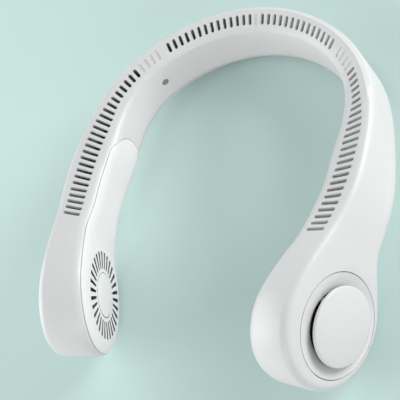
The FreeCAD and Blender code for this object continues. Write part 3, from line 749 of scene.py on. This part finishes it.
class NECKFAN_OT_intakes(bpy.types.Operator):
    """Smooths the intake rings, opens the seam round them, rolls their lips in and paints shade on the spokes and
    motor posts
    """
    bl_idname = "neckfan.intakes"
    bl_label = "Intake Rings"

    def execute(self, context):
        for side in SIDES:
            node = "intake_ring_" + side
            name = "rolled_intake_ring_" + side
            line = fan_axis(side)
            upright = turned_frame(*line)
            ring = copy_of_solid(node, name)
            place_piece(ring, upright.inverted())
            self.open_seam(ring)
            self.roll_lip(ring)
            place_piece(ring, upright)
            smooth(ring)
            settle(ring, node, name)
            self.paint_spoke_shade(ring, line)
        return {"FINISHED"}

    def open_seam(self, ring):
        """Draws the rim in a little, so that the ring's seam shows as a fine dark line."""
        top = max(v.co.z for v in ring.data.vertices)
        rim = max(v.co.xy.length for v in ring.data.vertices if v.co.z > top - NEAR)
        self.draw_in(ring, rim, sizes().ring_seam)

    def roll_lip(self, ring):
        """Brings the lip in and up under the dome, circle by circle, most near its inner edge."""
        size = sizes()
        top = max(v.co.z for v in ring.data.vertices)
        circles = {(round(v.co.xy.length, POINT_DIGITS), round(v.co.z, POINT_DIGITS))
                   for v in ring.data.vertices
                   if size.throat_least < v.co.xy.length < size.roll_start
                   and v.co.z > top - size.roll_depth}
        lip = sorted(circles)
        throat = lip[0][0]
        for radius, level in lip:
            share = ((size.roll_start - radius) / (size.roll_start - throat)) ** 2
            lift = size.lip_lift * math.sin(math.pi * share)
            self.draw_in(ring, radius, size.lip_reach * share, level, lift)

    def draw_in(self, ring, radius, by, level=None, lift=0.0):
        """Draws the points at a radius, or only those at a level too, in and up."""
        pick_only(ring)
        bpy.ops.object.mode_set(mode="EDIT")
        bpy.ops.mesh.select_mode(type="VERT")
        bpy.ops.mesh.select_all(action="DESELECT")
        bpy.ops.object.mode_set(mode="OBJECT")
        for vertex in ring.data.vertices:
            here = level is None or abs(vertex.co.z - level) < NEAR
            vertex.select = here and abs(vertex.co.xy.length - radius) < NEAR
        bpy.ops.object.mode_set(mode="EDIT")
        share = 1 - by / radius
        bpy.ops.transform.resize(value=(share, share, 1), center_override=(0, 0, 0))
        bpy.ops.transform.translate(value=(0, 0, lift))
        bpy.ops.mesh.select_mode(type="FACE")
        bpy.ops.object.mode_set(mode="OBJECT")

    def paint_spoke_shade(self, ring, line):
        """Paints shade on the spokes and the motor post, inside the throat: the dark grey stands in for the shade
        under the dome.
        """
        throat = sizes().throat_least - sizes().lip_reach
        shade_faces(ring, "inner", line, lambda reach, slope: reach < throat)


class NECKFAN_OT_domes(bpy.types.Operator):
    """Models the domed caps over the air intakes"""
    bl_idname = "neckfan.domes"
    bl_label = "Domed Caps"

    def execute(self, context):
        for side in SIDES:
            self.dome(side)
        return {"FINISHED"}

    def dome(self, side):
        """One cap: a disc raised into a dome, hollowed from below and set on its posts."""
        size = sizes()
        node = "dome_cap_" + side
        line = fan_axis(side)
        low, crown, radius = extent(node, *line)
        under = min(level for level, reach in spots(node, *line) if reach > RIM_SHARE * radius)
        edge_top = under + size.dome_lip + size.dome_edge_rise
        piece = add_disc(radius, under)
        rise(size.dome_lip)
        step_in(size.dome_edge, size.dome_edge_rise)
        self.crown(radius - size.dome_edge, crown - edge_top)
        pick_level(piece, under, -1)
        step_in(size.dome_wall)
        rise(size.dome_hollow)
        close_edit()
        round_edges(piece, size.edge_round)
        roof = under + size.dome_hollow + size.post_sink
        posts = [self.post(x, y, low, roof) for x, y in self.post_places(node, line)]
        pick_only(piece, *posts)
        bpy.ops.object.join()
        smooth(piece)
        place_piece(piece, turned_frame(*line))
        settle(piece, node, "domed_cap_" + side)

    def crown(self, radius, height):
        """Insets the top face ring by ring, each a little higher, along a shallow sphere."""
        rings = sizes().dome_rings
        width = radius / (rings + MIDDLE_SHARE)
        bend = (radius ** 2 + height ** 2) / (2 * height)
        level = 0.0
        for ring in range(rings):
            reach = radius - (ring + 1) * width
            here = math.sqrt(bend ** 2 - reach ** 2) - (bend - height)
            step_in(width, here - level)
            level = here
        bpy.ops.mesh.poke()

    def post_places(self, node, line):
        """Places of the posts, from the points of the solid's lowest faces."""
        upright = turned_frame(*line).inverted()
        local = [upright @ v.co for v in frame["nodes"][node].data.vertices]
        lowest = min(v.z for v in local)
        feet = [v for v in local if v.z < lowest + NEAR]
        places = []
        while feet:
            foot = [v for v in feet if (v - feet[0]).length < FOOT_SPAN]
            places.append((sum(v.x for v in foot) / len(foot), sum(v.y for v in foot) / len(foot)))
            feet = [v for v in feet if v not in foot]
        return places

    def post(self, x, y, low, high):
        """A round post from one level to another."""
        pick_only()
        bpy.ops.mesh.primitive_cylinder_add(
            vertices=sizes().post_turns, radius=sizes().post_radius, depth=high - low,
            location=(x, y, (low + high) / 2))
        bpy.ops.object.transform_apply(location=True)
        return bpy.context.object


class NECKFAN_OT_grille_caps(bpy.types.Operator):
    """Models the plain discs in the middle of the grilles and paints shade on their side walls, so that their
    seams show dark
    """
    bl_idname = "neckfan.grille_caps"
    bl_label = "Grille Caps"

    def execute(self, context):
        for side in SIDES:
            node = "grille_cap_" + side
            line = disc_axis(node, -fan_axis(side)[1])
            low, high, seat = extent(node, *line)
            radius = seat - sizes().cap_seam
            piece = add_disc(radius, low)
            rise(high - low)
            for share in CAP_RINGS:
                step_in(share * radius)
            close_turned(piece, sizes().edge_round, line, node, "grille_disc_" + side)
            # Painted shade on the disc's side wall, so that its seam shows as a dark line.
            shade_faces(piece, "slots", line, lambda reach, slope: slope < STEEP)
        return {"FINISHED"}


class NECKFAN_OT_plugs(bpy.types.Operator):
    """Models the soft plugs over the housing screws"""
    bl_idname = "neckfan.plugs"
    bl_label = "Screw Plugs"

    def execute(self, context):
        for side in SIDES:
            node = "screw_plug_" + side
            low_corner, high_corner = (Vector(c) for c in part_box(node))
            inward = Vector((-(low_corner.x + high_corner.x), 0, 0))
            line = disc_axis(node, inward)
            low, high, radius = extent(node, *line)
            piece = add_disc(radius, low)
            rise(high - low)
            step_in(PLUG_RIM_SHARE * radius)
            rise(-sizes().plug_dish)
            close_turned(piece, sizes().plug_round, line, node, "soft_plug_" + side)
        return {"FINISHED"}


class NECKFAN_OT_button(bpy.types.Operator):
    """Models the dished power button with its inner flange"""
    bl_idname = "neckfan.button"
    bl_label = "Power Button"

    def execute(self, context):
        size = sizes()
        node = "power_button"
        press = [Vector(j["axis"]) for j in frame["joints"] if j["child"] == node][0]
        line = middle(node), -press.normalized()
        low, high, flange = extent(node, *line)
        radius = max(reach for level, reach in spots(node, *line) if level > high - NEAR)
        piece = add_disc(flange, low)
        rise(size.button_flange)
        step_in(flange - radius)
        rise(high - low - size.button_flange)
        step_in(size.button_rim)
        for width, share in DISH_RINGS:
            step_in(width, -share * size.button_dish)
        close_turned(piece, size.button_round, line, node, "dished_button")
        return {"FINISHED"}


class NECKFAN_OT_stage(bpy.types.Operator):
    """Sets the pale floor, the soft lights and the camera"""
    bl_idname = "neckfan.stage"
    bl_label = "Stage"

    def execute(self, context):
        self.floor()
        context.scene.world = self.sky()
        for lamp in LAMPS:
            self.lamp(*lamp)
        self.camera(context)
        return {"FINISHED"}

    def floor(self):
        """A wide sheet of pale paper under the fan."""
        pick_only()
        bpy.ops.mesh.primitive_plane_add(size=FLOOR_SIZE, location=(0, 0, 0))
        ground = bpy.context.object
        ground.name = "studio_floor"
        paper = studio_paper("Pale backdrop paper", colours().floor, colours().bounce)
        ground.data.materials.append(paper)

    def sky(self):
        """An even studio sky: the floor's tone to the eye, a weaker neutral light on the fan."""
        world = bpy.data.worlds.new("Studio sky")
        world.use_nodes = True
        tree = world.node_tree
        tree.nodes.clear()
        seen = seen_ray(tree)
        level = add_node(tree, "ShaderNodeMapRange", [(seen, "Value")],
                         {"To Min": SKY_STRENGTH, "To Max": SKY_SEEN})
        tone = add_node(tree, "ShaderNodeMixRGB", [(seen, "Fac")],
                        {"Color1": colours().sky, "Color2": colours().floor})
        glow = add_node(tree, "ShaderNodeBackground", [(level.outputs["Result"], "Strength"),
                                                       (tone.outputs["Color"], "Color")])
        add_node(tree, "ShaderNodeOutputWorld", [(glow.outputs[0], "Surface")])
        return world

    def lamp(self, name, place, width, power):
        """A square soft lamp turned to the fan."""
        pick_only()
        bpy.ops.object.light_add(type="AREA", location=place)
        lamp = bpy.context.object
        lamp.name = name
        lamp.data.size = width
        lamp.data.energy = power
        aim = Vector(LAMP_AIM) - Vector(place)
        lamp.rotation_euler = aim.to_track_quat("-Z", "Y").to_euler()

    def camera(self, context):
        """The camera at the photograph's viewing angle."""
        right = Vector(CAMERA_RIGHT).normalized()
        ahead = Vector(CAMERA_AHEAD).normalized()
        up = right.cross(ahead)
        turn = Matrix((right, up, -ahead)).transposed().to_4x4()
        data = bpy.data.cameras.new("Camera")
        data.sensor_width = CAMERA_SENSOR
        data.lens = CAMERA_LENS
        data.clip_start = CAMERA_NEAR
        camera = bpy.data.objects.new("Camera", data)
        camera.matrix_world = Matrix.Translation(Vector(CAMERA_PLACE)) @ turn
        context.scene.collection.objects.link(camera)
        context.scene.camera = camera
        context.scene.view_settings.view_transform = "Standard"


class NECKFAN_PT_panel(bpy.types.Panel):
    """Lists the sizes, colours and steps of the neck fan"""
    bl_idname = "NECKFAN_PT_panel"
    bl_label = "Neck Fan"
    bl_space_type = "VIEW_3D"
    bl_region_type = "UI"
    bl_category = "Neck Fan"

    def draw(self, context):
        for group in (context.scene.neck_fan_sizes, context.scene.neck_fan_colours):
            column = self.layout.column()
            for name in group.__annotations__:
                column.prop(group, name)
        for step in STEPS:
            self.layout.operator(step.bl_idname)


STEPS = (
    NECKFAN_OT_finishes, NECKFAN_OT_housing, NECKFAN_OT_covers, NECKFAN_OT_intakes,
    NECKFAN_OT_domes, NECKFAN_OT_grille_caps, NECKFAN_OT_plugs, NECKFAN_OT_button,
    NECKFAN_OT_stage,
)
CLASSES = (NeckFanSizes, NeckFanColours) + STEPS + (NECKFAN_PT_panel,)


def register():
    """Registers the classes and hangs the settings on the scene."""
    for item in CLASSES:
        bpy.utils.register_class(item)
    bpy.types.Scene.neck_fan_sizes = bpy.props.PointerProperty(type=NeckFanSizes)
    bpy.types.Scene.neck_fan_colours = bpy.props.PointerProperty(type=NeckFanColours)


def unregister():
    """Takes the settings and the classes away again."""
    del bpy.types.Scene.neck_fan_colours
    del bpy.types.Scene.neck_fan_sizes
    for item in reversed(CLASSES):
        bpy.utils.unregister_class(item)


def main():
    """Builds the fan and its stage."""
    register()
    bpy.ops.neckfan.finishes()
    bpy.ops.neckfan.housing()
    bpy.ops.neckfan.covers()
    bpy.ops.neckfan.intakes()
    bpy.ops.neckfan.domes()
    bpy.ops.neckfan.grille_caps()
    bpy.ops.neckfan.plugs()
    bpy.ops.neckfan.button()
    bpy.ops.neckfan.stage()


if __name__ == "__main__":
    main()
